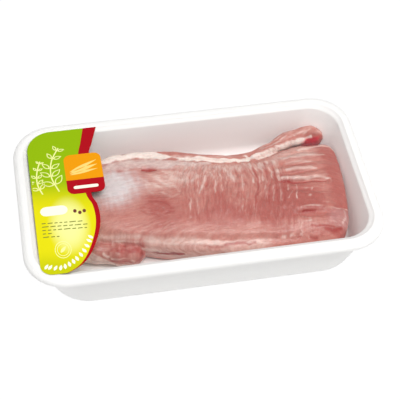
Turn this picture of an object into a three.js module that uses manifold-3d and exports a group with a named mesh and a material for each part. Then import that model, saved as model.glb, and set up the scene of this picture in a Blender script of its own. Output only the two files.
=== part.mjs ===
// A raw pork loin roast in its retail pack: a white foam tray, the loin on the tray's floor, a clear top film
// sealed to the rim, and a printed label on the film's left end.
// Millimetres, +Z up. The origin is the middle of the tray's underside, +X runs along the tray to the loin's
// thick end, and +Y points to the long side that the loin's loose flap lies along.
import * as THREE from "three";
import { mergeVertices } from "three/addons/utils/BufferGeometryUtils.js";
import Module from "manifold-3d";

// Driving dimensions of the tray
const TRAY_LENGTH = 270;
const TRAY_WIDTH = 155;
const TRAY_HEIGHT = 45;
const TRAY_CORNER = 30;
const FLOOR_TOP = 4;
const RIM_WIDTH = 8;
const RIM_THICKNESS = 6.4;
const RIM_ROUND = 4.5;

// Film and label
const FILM_THICKNESS = 0.3;
const FILM_INSET = 2;
const LABEL_THICKNESS = 0.3;
const CLEARANCE = 0.1;

// Driving dimensions of the loin
const MEAT_GAP = 0.35;
const LOIN_START = -106;
const LOIN_END = 118.6;
const CHAIN_RADIUS = 6.8;
const FAT_BAND_RADIUS = 3.4;
const FAT_SEAM_RADIUS = 3.2;
const SIDE_STRIP_RADIUS = 7.4;

const wasm = await Module();
wasm.setup();

// Helpers

const smooth = (from, to, value) => THREE.MathUtils.smoothstep(value, from, to);

// 1 between the two limits, falling to 0 over the given margin outside them
const within = (value, low, high, margin) =>
  smooth(low - margin, low + margin, value) * (1 - smooth(high - margin, high + margin, value));

// 1 on a line, falling to 0 at the given distance from it
const ridge = (distance, width) => Math.exp(-((distance / width) ** 2));

// A smooth curve through [x, value] pairs, read at any x
function profile(pairs) {
  return (x) => {
    const last = pairs.length - 1;
    if (x <= pairs[0][0]) return pairs[0][1];
    if (x >= pairs[last][0]) return pairs[last][1];
    const i = pairs.findIndex((pair) => pair[0] >= x) - 1;
    const slope = (k) => {
      if (k === 0 || k === last) return 0;
      return (pairs[k + 1][1] - pairs[k - 1][1]) / (pairs[k + 1][0] - pairs[k - 1][0]);
    };
    const span = pairs[i + 1][0] - pairs[i][0];
    const t = (x - pairs[i][0]) / span;
    const t2 = t * t;
    const t3 = t2 * t;
    return (
      (2 * t3 - 3 * t2 + 1) * pairs[i][1] +
      (t3 - 2 * t2 + t) * span * slope(i) +
      (-2 * t3 + 3 * t2) * pairs[i + 1][1] +
      (t3 - t2) * span * slope(i + 1)
    );
  };
}

// A closed surface through rings of equal point count, each end closed by a fan to its middle
function loft(rings) {
  const count = rings[0].length;
  const middle = (ring) =>
    ring.reduce((sum, point) => sum.add(point), new THREE.Vector3()).divideScalar(count);
  const points = [...rings.flat(), middle(rings[0]), middle(rings.at(-1))];
  const startCap = points.length - 2;
  const endCap = points.length - 1;
  const lastRing = (rings.length - 1) * count;
  const index = [];
  for (let i = 0; i < count; i++) {
    const j = (i + 1) % count;
    index.push(startCap, j, i);
    for (let row = 0; row < lastRing; row += count) {
      index.push(row + i, row + j, row + count + j, row + i, row + count + j, row + count + i);
    }
    index.push(lastRing + i, lastRing + j, endCap);
  }
  const geometry = new THREE.BufferGeometry().setFromPoints(points);
  geometry.setIndex(index);
  return geometry;
}

// A three.js geometry as a manifold-3d solid, and back
function toSolid(geometry) {
  const bare = geometry.clone();
  bare.deleteAttribute("normal");
  bare.deleteAttribute("uv");
  const merged = mergeVertices(bare, 1e-4);
  return new wasm.Manifold(
    new wasm.Mesh({
      numProp: 3,
      vertProperties: merged.attributes.position.array,
      triVerts: new Uint32Array(merged.index.array),
    }),
  );
}

function toGeometry(solid) {
  const mesh = solid.getMesh();
  const geometry = new THREE.BufferGeometry();
  geometry.setAttribute("position", new THREE.BufferAttribute(new Float32Array(mesh.vertProperties), 3));
  geometry.setIndex(new THREE.BufferAttribute(new Uint32Array(mesh.triVerts), 1));
  geometry.computeVertexNormals();
  return geometry;
}

// Tray

const CORNER_STEPS = 7;
const SHOULDER_DROP = 1.8;
const WALL_TOP = TRAY_HEIGHT - SHOULDER_DROP - 1.6;

// How much further in the tray's ends lie than its long sides at height z, as they lean more
const END_LEAN = 7.5;
const endLean = (z) => END_LEAN * Math.max(0, 1 - z / (TRAY_HEIGHT - RIM_THICKNESS));

// The corner's radius gets smaller towards the tray's middle, and larger towards its foot
const INWARD_TIGHTENING = 0.75;
const DOWNWARD_WIDENING = 0.21;
const cornerAt = (inset, z) =>
  TRAY_CORNER - INWARD_TIGHTENING * inset + DOWNWARD_WIDENING * (TRAY_HEIGHT - z);

// The rounded rectangle that lies inset from the rim's outer edge, at height z
function trayRing(inset, z) {
  const cornerRadius = cornerAt(inset, z);
  const halfLength = TRAY_LENGTH / 2 - inset - endLean(z);
  const halfWidth = TRAY_WIDTH / 2 - inset;
  const signs = [[1, 1], [-1, 1], [-1, -1], [1, -1]];
  return signs.flatMap(([sx, sy], corner) =>
    Array.from({ length: CORNER_STEPS + 1 }, (_, step) => {
      const angle = (Math.PI / 2) * (corner + step / CORNER_STEPS);
      return new THREE.Vector3(
        sx * (halfLength - cornerRadius) + cornerRadius * Math.cos(angle),
        sy * (halfWidth - cornerRadius) + cornerRadius * Math.sin(angle),
        z,
      );
    }),
  );
}

// The tray's section as [inset from the rim's edge, height], from the underside round the lip to the floor
const WALL_TOP_INSET = 6.5;
const WALL_FOOT_INSET = 10.2;
const FOOT_RADIUS = 6;
const INNER_TOP_INSET = RIM_WIDTH + 3.2;
const INNER_FOOT_INSET = 14.5;
const FLOOR_RADIUS = 8;

function quarterArc(inset, z, radius, fromDegrees, toDegrees, steps) {
  return Array.from({ length: steps + 1 }, (_, step) => {
    const angle = THREE.MathUtils.degToRad(THREE.MathUtils.lerp(fromDegrees, toDegrees, step / steps));
    return [inset - radius * Math.cos(angle), z + radius * Math.sin(angle)];
  });
}

const INNER_SECTION = [
  [RIM_WIDTH + 0.6, TRAY_HEIGHT - SHOULDER_DROP],
  [INNER_TOP_INSET - 1, TRAY_HEIGHT - SHOULDER_DROP - 0.4],
  [INNER_TOP_INSET, WALL_TOP],
  ...quarterArc(INNER_FOOT_INSET + FLOOR_RADIUS, FLOOR_TOP + FLOOR_RADIUS, FLOOR_RADIUS, 0, -90, 5),
];

const TRAY_SECTION = [
  ...quarterArc(WALL_FOOT_INSET + FOOT_RADIUS, FOOT_RADIUS, FOOT_RADIUS, -90, 0, 5),
  [WALL_TOP_INSET, TRAY_HEIGHT - RIM_THICKNESS - 1],
  [WALL_TOP_INSET - 1.2, TRAY_HEIGHT - RIM_THICKNESS],
  [0.8, TRAY_HEIGHT - RIM_THICKNESS],
  [0, TRAY_HEIGHT - RIM_THICKNESS + 0.8],
  ...quarterArc(RIM_ROUND, TRAY_HEIGHT - RIM_ROUND, RIM_ROUND, 0, 90, 4),
  ...quarterArc(RIM_WIDTH - 1.2, TRAY_HEIGHT - 1.2, 1.2, 90, 180, 2),
  ...INNER_SECTION,
];

const sectionRings = (section) => section.map(([inset, z]) => trayRing(inset, z));

const makeTray = () => loft(sectionRings(TRAY_SECTION));

// The space inside the tray, as a solid that what lies in it is trimmed to
function makeCavity() {
  const low = INNER_SECTION.toReversed().map(([inset, z]) => [inset + MEAT_GAP, z + MEAT_GAP]);
  return loft(sectionRings([...low, [RIM_WIDTH + MEAT_GAP, TRAY_HEIGHT - 0.5]]));
}

// Loin: its outline in plan and its heights, as profiles along X

const backEdge = profile([
  [LOIN_START, 10], [-99, 27], [-84, 42], [-64, 49], [-30, 50], [10, 43], [44, 35],
  [56, 33], [76, 38], [96, 41], [110, 40], [116, 36], [LOIN_END, 29],
]);
const frontEdge = profile([
  [LOIN_START, -14], [-98, -22], [-80, -27.5], [-50, -36.5], [-10, -49], [30, -56], [70, -59],
  [90, -60.5], [101, -58], [108, -50], [113.5, -34], [117, -8], [LOIN_END, 12],
]);
const crownHeight = profile([
  [LOIN_START, 23], [-96, 32], [-76, 36.5], [-40, 39.5], [10, 40.5], [50, 39], [72, 41],
  [92, 40.5], [104, 38], [113, 34.5], [117, 31.5], [LOIN_END, 29.5],
]);
// The height at which the loin is widest: the thick end leans over the foot of the tray's sloping end
const equatorHeight = profile([
  [LOIN_START, 15], [-96, 19], [-80, 20], [98, 20], [110, 24], [LOIN_END, 28],
]);
const undersideHeight = profile([
  [LOIN_START, 12], [-98, FLOOR_TOP - 1.5], [103, FLOOR_TOP - 1.5], [112, 9], [LOIN_END, 26.5],
]);

// The height of the loin's upper face before its relief: across the loin it follows a curve that is fuller
// than an ellipse
const FULLNESS = 2.5;
const riseAt = (across) => (1 - Math.min(1, Math.abs(across)) ** FULLNESS) ** (1 / FULLNESS);
function loinHeight(x, y) {
  const middle = (backEdge(x) + frontEdge(x)) / 2;
  const halfWidth = (backEdge(x) - frontEdge(x)) / 2;
  const equator = equatorHeight(x);
  return equator + (crownHeight(x) - equator) * riseAt((y - middle) / halfWidth);
}

// The fold along the front, as Y over X
const frontFold = profile([[-92, -20], [-62, -31], [-40, -37], [-4, -44], [33, -49], [62, -53], [90, -55]]);

// Cross wrinkles: a sum of waves that drift out of step, so that no two are alike. They lean to the thin end
// on the left and fan out from the junction on the right.
const wrinkleLean = profile([[-20, 0.42], [20, 0.3], [38, 0.16], [50, -0.05], [62, -0.3], [80, -0.1]]);
function crossWrinkles(x, y) {
  const foot = x - wrinkleLean(x) * (y - 24) + 1.4 * Math.sin(y * 0.11 + x * 0.05);
  const fine = 0.3 * Math.sin(foot * 1.43 + y * 0.12);
  const wave = Math.sin(foot * 0.98) + 0.6 * Math.sin(foot * 0.57 + 1.3) + fine;
  const patches = 0.6 + 0.5 * Math.sin(x * 0.16 + y * 0.21 + 2 * Math.sin(y * 0.08));
  return wave * patches * within(x, -10, 72, 10) * within(y, -22, 34, 9);
}

// Folds along the thick end, gathered as if a band had pulled them together at their left
const FOLD_LINES = [24, 13.5, 5, -5, -14, -35.5];
const FOLD_DEPTHS = [1.8, 2.2, 2, 3.6, 1.6, 3];
function thickEndFolds(x, y) {
  const spread = 1 + 0.003 * (x - 66);
  return FOLD_LINES.reduce((sum, line, i) => {
    const centre = line * spread + 0.05 * (x - 84) + 0.8 * Math.sin(x * 0.16 + i * 2.1);
    return sum - FOLD_DEPTHS[i] * ridge(y - centre, 2.2);
  }, 0) * within(x, 71, 103, 5);
}

// Radiating creases where the flap is pulled in at the junction
const JUNCTION = new THREE.Vector2(52, 27);
function junctionCreases(x, y) {
  const dx = x - JUNCTION.x;
  const dy = JUNCTION.y - y;
  const reach = Math.hypot(dx, dy);
  const angle = Math.atan2(dx, dy);
  const place = within(reach, 8, 40, 7) * within(angle, -0.25, 0.85, 0.2);
  return -1.6 * ridge(Math.sin(angle * 6 + 0.6), 0.42) * place;
}

// Everything that stands out of or sinks into the loin's upper face, in millimetres
function relief(x, y) {
  const fold = -1.7 * ridge(y - frontFold(x), 2.2) * within(x, -76, 74, 10);
  const foldLip = 0.9 * ridge(y - frontFold(x) - 4, 2.6) * within(x, -70, 64, 10);
  const pocket = -2.4 * ridge(Math.hypot((x + 32.5) / 6, (y - 24.3) / 2.2), 1);
  const hollow = -1.6 * ridge(Math.hypot((x + 22) / 16, (y - 6) / 11), 1);
  const lobeEdge = -2 * ridge(y + 33 - 0.4 * (x - 106), 2) * within(x, 101, 113, 4);
  const swell = 1.1 * Math.sin(x * 0.047 + 0.8) * Math.cos(y * 0.055) + 0.5 * Math.sin(x * 0.13 + y * 0.08);
  const wrinkles = 0.75 * crossWrinkles(x, y);
  return fold + foldLip + pocket + hollow + lobeEdge + swell + wrinkles +
    thickEndFolds(x, y) + junctionCreases(x, y);
}

const TOP_STEPS = 42;
const SIDE_CROWDING = 1.35;
const UNDER_STEPS = 6;

// One section of the loin: its upper face with the relief, and a flat underside
function loinRing(x) {
  const middle = (backEdge(x) + frontEdge(x)) / 2;
  const halfWidth = (backEdge(x) - frontEdge(x)) / 2;
  const equator = equatorHeight(x);
  const top = Array.from({ length: TOP_STEPS + 1 }, (_, i) => {
    const even = 1 - (2 * i) / TOP_STEPS;
    const across = Math.sign(even) * (1 - (1 - Math.abs(even)) ** SIDE_CROWDING);
    const y = middle + halfWidth * across;
    const lift = relief(x, y) * smooth(0.1, 0.75, riseAt(across)) * smooth(4, 16, halfWidth);
    return new THREE.Vector3(x, y, loinHeight(x, y) + lift);
  });
  const bow = (value) => Math.sign(value) * Math.abs(value) ** 0.55;
  const under = Array.from({ length: UNDER_STEPS - 1 }, (_, i) => {
    const angle = Math.PI * (1 + (i + 1) / UNDER_STEPS);
    const y = middle + halfWidth * bow(Math.cos(angle));
    const depth = equator - undersideHeight(x);
    return new THREE.Vector3(x, y, equator + depth * bow(Math.sin(angle)));
  });
  return [...top, ...under];
}

// Stations along the loin, closest together where the cross wrinkles are
function loinStations() {
  const spans = [[LOIN_START, -96, 4], [-96, -20, 17], [-20, 76, 48], [76, 106, 10], [106, LOIN_END, 7]];
  const stations = spans.flatMap(([from, to, steps]) =>
    Array.from({ length: steps }, (_, i) => THREE.MathUtils.lerp(from, to, i / steps)),
  );
  return [...stations, LOIN_END];
}

// A rounded strip of meat along a curve, thick in the middle and tapered to blunt ends
function meatStrip(points, radius, heightRatio, steps, sides) {
  const curve = new THREE.CatmullRomCurve3(points.map((point) => new THREE.Vector3(...point)));
  const rings = Array.from({ length: steps + 1 }, (_, i) => {
    const along = 0.004 + 0.992 * (i / steps);
    const centre = curve.getPoint(along);
    const tangent = curve.getTangent(along);
    const side = new THREE.Vector3(-tangent.y, tangent.x, 0).normalize();
    const ends = Math.min(1, Math.sin(Math.PI * along) * 2.2) ** 0.45;
    const lumps = 1 + 0.07 * Math.sin(along * 23) + 0.04 * Math.sin(along * 41 + 1);
    const size = radius * ends * lumps;
    return Array.from({ length: sides }, (_, k) => {
      const angle = (2 * Math.PI * k) / sides;
      return centre
        .clone()
        .addScaledVector(side, size * Math.cos(angle))
        .add(new THREE.Vector3(0, 0, size * heightRatio * Math.sin(angle)));
    });
  });
  return loft(rings);
}

// The loose flap along the back of the thick end, whose tail runs on behind the fat seam
const CHAIN_PATH = [
  [-34, 46, 16], [8, 41, 17], [44, 35, 18], [66, 42, 19], [88, 52, 20.5], [104, 55, 21], [117, 51.5, 19.5],
];
const CHAIN_TALLNESS = 1.65;
// The band of fat on the flap's near side
const FAT_BAND_PATH = [[48, 29, 32], [60, 34, 30.5], [74, 41, 28.5], [88, 46.5, 26.5], [101, 49, 24.5]];
// The small dark muscle that lies along the front of the thin end
const SIDE_STRIP_PATH = [
  [-104, -19, 13.5], [-88, -28.5, 14], [-71, -33.5, 14.5], [-58, -36.5, 14.5], [-44, -38.5, 14],
];
const SIDE_STRIP_TALLNESS = 1.3;
// The seam of fat along the loin's back edge, as Y over X, laid on the upper face
const FAT_SEAM_LINE = [
  [-96, 17], [-80, 32], [-62, 42], [-44, 44.5], [-24, 42.5], [8, 33.5], [34, 28], [54, 26.5],
];
const FAT_SEAM_RISE = 1.4;
const fatSeamPath = FAT_SEAM_LINE.map(([x, y]) => [x, y, loinHeight(x, y) + FAT_SEAM_RISE]);

function makeLoin() {
  const body = toSolid(loft(loinStations().map(loinRing)));
  const strips = [
    meatStrip(CHAIN_PATH, CHAIN_RADIUS, CHAIN_TALLNESS, 32, 12),
    meatStrip(FAT_BAND_PATH, FAT_BAND_RADIUS, 1, 16, 8),
    meatStrip(fatSeamPath, FAT_SEAM_RADIUS, 0.8, 36, 8),
    meatStrip(SIDE_STRIP_PATH, SIDE_STRIP_RADIUS, SIDE_STRIP_TALLNESS, 14, 12),
  ];
  const joined = strips.reduce((whole, strip) => whole.add(toSolid(strip)), body);
  return toGeometry(joined.intersect(toSolid(makeCavity())));
}

// Film and label: flat shapes on top of the rim

const flatSolid = (shape, thickness, curveSegments) =>
  new THREE.ExtrudeGeometry(shape, { depth: thickness, bevelEnabled: false, curveSegments });

function makeFilm() {
  const edge = trayRing(FILM_INSET, TRAY_HEIGHT);
  const outline = new THREE.Shape(edge.map((point) => new THREE.Vector2(point.x, point.y)));
  return flatSolid(outline, FILM_THICKNESS, 1);
}

// The label fills the left end of the opening: two round corners at its left, and a long double curve down
// its right side. An upright badge with round corners is part of it and overhangs that side.
const LABEL_LEFT = -123.5;
const LABEL_TOP = 69;
const LABEL_BOTTOM = -69;
const LABEL_TOP_CORNER = 19;
const LABEL_BOTTOM_CORNER = 9;
const LABEL_TOP_RIGHT = -68;
const LABEL_RIGHT_SIDE = [
  [-104, LABEL_BOTTOM], [-94, -63.5], [-86, -54], [-79.2, -39], [-75.7, -24], [-76.2, -9.6], [-79.5, 3],
  [-77.4, 38], [-72.9, 53.7],
];
const BADGE_CENTRE = [-82.5, 22.5];
const BADGE_HALF_WIDTH = 14.3;
const BADGE_HALF_HEIGHT = 19.8;
const BADGE_CORNER = 5.5;
const LABEL_SEGMENTS = 4;

function makeBadgeShape() {
  const shape = new THREE.Shape();
  const right = BADGE_HALF_WIDTH - BADGE_CORNER;
  const top = BADGE_HALF_HEIGHT - BADGE_CORNER;
  const corners = [[right, top], [-right, top], [-right, -top], [right, -top]];
  corners.forEach(([x, y], i) => {
    const from = (Math.PI / 2) * i;
    shape.absarc(BADGE_CENTRE[0] + x, BADGE_CENTRE[1] + y, BADGE_CORNER, from, from + Math.PI / 2, false);
  });
  return shape;
}

function makeLabel() {
  const outline = new THREE.Shape();
  outline.moveTo(LABEL_TOP_RIGHT, LABEL_TOP);
  const corner = (y, radius, from) =>
    outline.absarc(LABEL_LEFT + radius, y, radius, from, from + Math.PI / 2, false);
  corner(LABEL_TOP - LABEL_TOP_CORNER, LABEL_TOP_CORNER, Math.PI / 2);
  corner(LABEL_BOTTOM + LABEL_BOTTOM_CORNER, LABEL_BOTTOM_CORNER, Math.PI);
  const rightSide = LABEL_RIGHT_SIDE.map((pair) => new THREE.Vector2(...pair));
  outline.lineTo(rightSide[0].x, rightSide[0].y);
  outline.splineThru([...rightSide.slice(1), new THREE.Vector2(LABEL_TOP_RIGHT, LABEL_TOP)]);
  const sheet = toSolid(flatSolid(outline, LABEL_THICKNESS, LABEL_SEGMENTS));
  return toGeometry(sheet.add(toSolid(flatSolid(makeBadgeShape(), LABEL_THICKNESS, LABEL_SEGMENTS))));
}

// The pack

const FOAM = new THREE.MeshStandardMaterial({ color: 0xf6f5f3, roughness: 0.45, metalness: 0 });
const RAW_PORK = new THREE.MeshStandardMaterial({ color: 0xc98a7d, roughness: 0.38, metalness: 0 });
const CLEAR_FILM = new THREE.MeshStandardMaterial({
  color: 0xffffff, roughness: 0.08, metalness: 0, transparent: true, opacity: 0.15,
});
const PRINTED_LABEL = new THREE.MeshStandardMaterial({ color: 0xc3cf1b, roughness: 0.35, metalness: 0 });

function piece(name, geometry, material, z = 0) {
  const mesh = new THREE.Mesh(geometry, material);
  mesh.name = name;
  mesh.position.z = z;
  return mesh;
}

const filmHeight = TRAY_HEIGHT + CLEARANCE;
const labelHeight = filmHeight + FILM_THICKNESS + CLEARANCE;

const pack = new THREE.Group();
pack.add(piece("tray", makeTray(), FOAM));
pack.add(piece("pork_loin", makeLoin(), RAW_PORK));
pack.add(piece("film", makeFilm(), CLEAR_FILM, filmHeight));
pack.add(piece("label", makeLabel(), PRINTED_LABEL, labelHeight));

export default pack;
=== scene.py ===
"""A raw pork loin roast in its sealed foam tray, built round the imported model.

Each operator makes one piece of the pack, or one group of like pieces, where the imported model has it.
Places named in millimetres are in the pack's own frame: X along the tray, Y across it, Z up.
"""

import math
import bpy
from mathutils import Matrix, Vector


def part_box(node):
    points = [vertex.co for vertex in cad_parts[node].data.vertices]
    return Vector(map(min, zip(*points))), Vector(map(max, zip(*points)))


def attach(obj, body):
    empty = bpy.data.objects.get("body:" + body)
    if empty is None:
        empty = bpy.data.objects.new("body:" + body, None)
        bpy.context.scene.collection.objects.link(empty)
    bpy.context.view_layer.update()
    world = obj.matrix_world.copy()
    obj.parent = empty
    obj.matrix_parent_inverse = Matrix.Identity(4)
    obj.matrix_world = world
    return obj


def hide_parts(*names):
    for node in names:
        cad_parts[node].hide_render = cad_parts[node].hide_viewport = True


bl_info = {
    "name": "Pork Loin Pack",
    "version": (1, 0, 0),
    "blender": (4, 5, 0),
    "location": "3D View > Sidebar > Pork Loin Pack",
    "description": "A raw pork loin in a foam tray under clear film, with a printed label",
    "category": "Add Mesh",
}

import bmesh
import bpy
import numpy as np
from bpy.props import FloatProperty, FloatVectorProperty, PointerProperty
from mathutils import Matrix, Vector

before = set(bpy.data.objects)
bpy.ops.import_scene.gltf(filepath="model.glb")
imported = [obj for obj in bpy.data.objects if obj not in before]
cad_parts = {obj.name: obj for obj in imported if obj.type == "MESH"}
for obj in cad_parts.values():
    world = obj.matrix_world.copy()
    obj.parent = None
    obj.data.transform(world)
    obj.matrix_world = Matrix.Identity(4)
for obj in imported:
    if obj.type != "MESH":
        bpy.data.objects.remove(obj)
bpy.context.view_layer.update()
MM = 0.001
TRAY_LOW, TRAY_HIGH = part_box("tray")
FILM_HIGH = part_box("film")[1]


# Settings that a user would change


def linear(red, green, blue):
    """Turns a screen colour from 0 to 255 into the linear colour that shaders take."""

    def channel(value):
        value = value / 255
        return value / 12.92 if value <= 0.04045 else ((value + 0.055) / 1.055) ** 2.4

    return tuple(channel(value) for value in (red, green, blue))


def length(name, description, default):
    return FloatProperty(name=name, description=description, default=default, unit="LENGTH", precision=5)


def number(name, description, default):
    return FloatProperty(name=name, description=description, default=default, precision=3)


def angle(name, description, degrees):
    return FloatProperty(name=name, description=description, default=math.radians(degrees), unit="ROTATION")


def colour(name, description, *screen):
    """A colour setting, from a screen colour's red, green and blue."""
    default = linear(*screen)
    return FloatVectorProperty(name=name, description=description, default=default, subtype="COLOR", size=3)


class PorkTraySettings(bpy.types.PropertyGroup):
    length: length("Length", "Length over the rim", TRAY_HIGH[0] - TRAY_LOW[0])
    width: length("Width", "Width over the rim", TRAY_HIGH[1] - TRAY_LOW[1])
    height: length("Height", "Height of the rim's top", TRAY_HIGH[2] - TRAY_LOW[2])
    corner: length("Corner", "Radius of the rim's outer corners", 30 * MM)
    lean: length("Lean", "How much further in the ends' feet lie than the long sides' feet", 7.5 * MM)
    rim: length("Rim", "Width of the rim", 8 * MM)
    floor: length("Floor", "Height of the tray's floor above its underside", 4 * MM)
    foam: colour("Foam", "Colour of the foam", 252, 251, 249)
    stain: colour("Stain", "Colour of the foam where meat juice tints it", 236, 206, 198)


class PorkLoinSettings(bpy.types.PropertyGroup):
    voxel: length("Voxel", "Size of the mesh's faces", 0.85 * MM)
    wrinkle_depth: length("Wrinkle depth", "Height of the cross wrinkles", 0.9 * MM)
    crease_depth: length("Crease depth", "Height of the folds and depth of the creases", 0.8 * MM)
    lump_depth: length("Lump depth", "Height of the broad lumps", 0.45 * MM)
    muscle: colour("Muscle", "Colour of the lean meat", 198, 127, 114)
    # The redder meat's colour is also painted as shade in the wrinkles' valleys.
    red: colour("Deep muscle", "Colour of the redder meat", 177, 88, 78)
    # The veil colour is the thin pale skin, and also paints highlights on crests and ridges and the light on
    # the front face.
    veil_and_painted_light: colour("Veil", "Colour of the thin pale skin over the meat", 228, 193, 182)
    # The silverskin colour also paints a pale grey sheen on the lobe at the thick end.
    silver_and_sheen: colour("Silverskin", "Colour of the silverskin", 224, 210, 209)
    fat: colour("Fat", "Colour of the fat", 240, 222, 212)
    # The gap colour is the dark red of the gaps between muscles, and also paints shade in the creases and
    # along edges.
    gap: colour("Gap", "Colour of the dark gaps", 162, 48, 40)
    cut: colour("Cut", "Colour of the raw cut under the flap", 216, 44, 62)


class PorkFilmSettings(bpy.types.PropertyGroup):
    inset: length("Inset", "Distance of the film's edge from the rim's edge", 2 * MM)
    thickness: length("Thickness", "Thickness of the film", 0.08 * MM)
    sag: length("Sag", "How far the film dips in the middle", 0.6 * MM)


class PorkLabelSettings(bpy.types.PropertyGroup):
    thickness: length("Thickness", "Thickness of the label", 0.15 * MM)
    print_thickness: length("Print thickness", "Thickness of each layer of print", 0.03 * MM)
    green: colour("Green", "Colour of the label's top", 143, 181, 6)
    lime: colour("Lime", "Colour between the green and the yellow", 196, 198, 8)
    yellow: colour("Yellow", "Colour of the label's lower half", 226, 218, 14)
    pale: colour("Pale", "Colour of the bright spot on the label", 240, 242, 160)
    band: colour("Band", "Colour of the band down the label's side", 172, 10, 25)
    badge: colour("Badge", "Colour of the badge's upper part", 234, 152, 6)
    cream: colour("Cream", "Colour of the swashes on the badge", 250, 214, 120)
    dark: colour("Dark", "Colour of the dots after the heading", 110, 60, 50)
    ink: colour("Ink", "Colour of the small dark print", 128, 130, 52)
    white: colour("White", "Colour of the pale print", 246, 248, 226)


class PorkStageSettings(bpy.types.PropertyGroup):
    lens: number("Lens", "Focal length in millimetres on a 36 mm sensor", 104.06)
    distance: length("Distance", "Distance of the camera from the middle of the tray's underside", 910.7 * MM)
    turn: angle("Turn", "How far the camera stands to the left of the tray's long front", 12.07)
    elevation: angle("Elevation", "Height of the camera as an angle", 50.45)
    roll: angle("Roll", "Roll of the camera", 2.5)
    aim_right: length("Aim right", "How far right of the origin the camera aims", 4.42 * MM)
    aim_up: length("Aim up", "How far above the aimed point the camera aims", 12.58 * MM)
    aim_height: length("Aim height", "Height of the aimed point above the ground", 5 * MM)
    sky_top: number("Sky top", "Brightness of the room's light from above", 0.95)
    sky_side: number("Sky side", "Brightness of the room's light from the sides", 0.05)
    floor_glow: number("Floor glow", "How much light the floor gives off, as a lit table does", 0.94)
    key_power: number("Key power", "Power of the main lamp in watts", 12.6)


# Working on meshes


def deselect():
    if bpy.context.mode != "OBJECT":
        bpy.ops.object.mode_set(mode="OBJECT")
    bpy.ops.object.select_all(action="DESELECT")


def select_only(piece):
    deselect()
    piece.select_set(True)
    bpy.context.view_layer.objects.active = piece


def new_piece(name):
    """Adds an empty mesh object at the origin and starts editing it."""
    deselect()
    piece = bpy.data.objects.new(name, bpy.data.meshes.new(name))
    bpy.context.scene.collection.objects.link(piece)
    select_only(piece)
    bpy.ops.object.mode_set(mode="EDIT")
    bpy.ops.mesh.select_mode(type="VERT")
    return piece


def finish_edit(smooth_degrees=None):
    bpy.ops.mesh.select_all(action="SELECT")
    bpy.ops.mesh.normals_make_consistent(inside=False)
    bpy.ops.object.mode_set(mode="OBJECT")
    if smooth_degrees:
        bpy.ops.object.shade_smooth_by_angle(angle=math.radians(smooth_degrees))


def apply_modifier(piece, kind, **values):
    modifier = piece.modifiers.new(kind.title(), kind)
    for key, value in values.items():
        setattr(modifier, key, value)
    select_only(piece)
    bpy.ops.object.modifier_apply(modifier=modifier.name)


def dress(piece, material, node):
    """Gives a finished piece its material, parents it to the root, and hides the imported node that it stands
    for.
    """
    piece.data.materials.clear()
    piece.data.materials.append(material)
    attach(piece, "root")
    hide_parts(node)


# Materials


class Wire:
    """A shader output that Python's operators extend with Math nodes."""

    def __init__(self, graph, socket):
        self.graph = graph
        self.socket = socket

    def join(self, operation, *values):
        return self.graph.add("ShaderNodeMath", {"operation": operation}, values)

    def __add__(self, other):
        return self.join("ADD", self, other)

    def __sub__(self, other):
        return self.join("SUBTRACT", self, other)

    def __rsub__(self, other):
        return self.join("SUBTRACT", other, self)

    def __mul__(self, other):
        return self.join("MULTIPLY", self, other)

    __radd__ = __add__

    def between(self, low, high):
        """0 below the first value, 1 above the second, and a smooth step in between."""
        return self.graph.add(
            "ShaderNodeMapRange", {"interpolation_type": "SMOOTHSTEP"}, {0: self, 1: low, 2: high, 3: 0, 4: 1}
        )


class Graph:
    """The nodes of a new material or world, with one method that makes any of them."""

    def __init__(self, owner):
        self.owner = owner
        owner.use_nodes = True
        self.tree = owner.node_tree
        self.tree.nodes.clear()

    def add(self, kind, settings=None, values=(), output=0):
        node = self.tree.nodes.new(kind)
        for key, value in (settings or {}).items():
            setattr(node, key, value)
        pairs = values.items() if isinstance(values, dict) else enumerate(values)
        for key, value in pairs:
            if isinstance(value, Wire):
                self.tree.links.new(value.socket, node.inputs[key])
            else:
                node.inputs[key].default_value = value
        return Wire(self, node.outputs[output])

    def place(self):
        return self.add("ShaderNodeTexCoord", output="Object")

    def field(self, name):
        return self.add("ShaderNodeAttribute", {"attribute_name": name}, output="Fac")

    def axes(self, vector):
        return [self.add("ShaderNodeSeparateXYZ", values=[vector], output=axis) for axis in "XYZ"]

    def stretch(self, vector, scale):
        return self.add("ShaderNodeMapping", values={"Vector": vector, "Scale": scale})

    def noise(self, vector, scale, detail=2.0, roughness=0.5):
        values = {"Vector": vector, "Scale": scale, "Detail": detail, "Roughness": roughness}
        return self.add("ShaderNodeTexNoise", values=values)

    def mix(self, factor, first, second):
        first, second = [value if isinstance(value, Wire) else (*value, 1) for value in (first, second)]
        return self.add("ShaderNodeMix", {"data_type": "RGBA"}, {0: factor, 6: first, 7: second}, output=2)

    def shade(self, wire, factor):
        """Multiplies a colour by a grey factor."""
        settings = {"data_type": "RGBA", "blend_type": "MULTIPLY"}
        return self.add("ShaderNodeMix", settings, {0: 1.0, 6: wire, 7: factor}, output=2)

    def bump(self, height, distance):
        return self.add("ShaderNodeBump", values={"Height": height, "Distance": distance, "Strength": 1.0})

    def surface(self, **inputs):
        """Adds the Principled shader, its inputs named with underscores for spaces, and returns it."""
        return self.add(
            "ShaderNodeBsdfPrincipled", values={key.replace("_", " "): value for key, value in inputs.items()}
        )

    def done(self, shader, kind="ShaderNodeOutputMaterial"):
        """Ends the nodes with the shader, and returns what they belong to."""
        node = self.tree.nodes.new(kind)
        self.tree.links.new(shader.socket, node.inputs["Surface"])
        return self.owner


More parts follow.
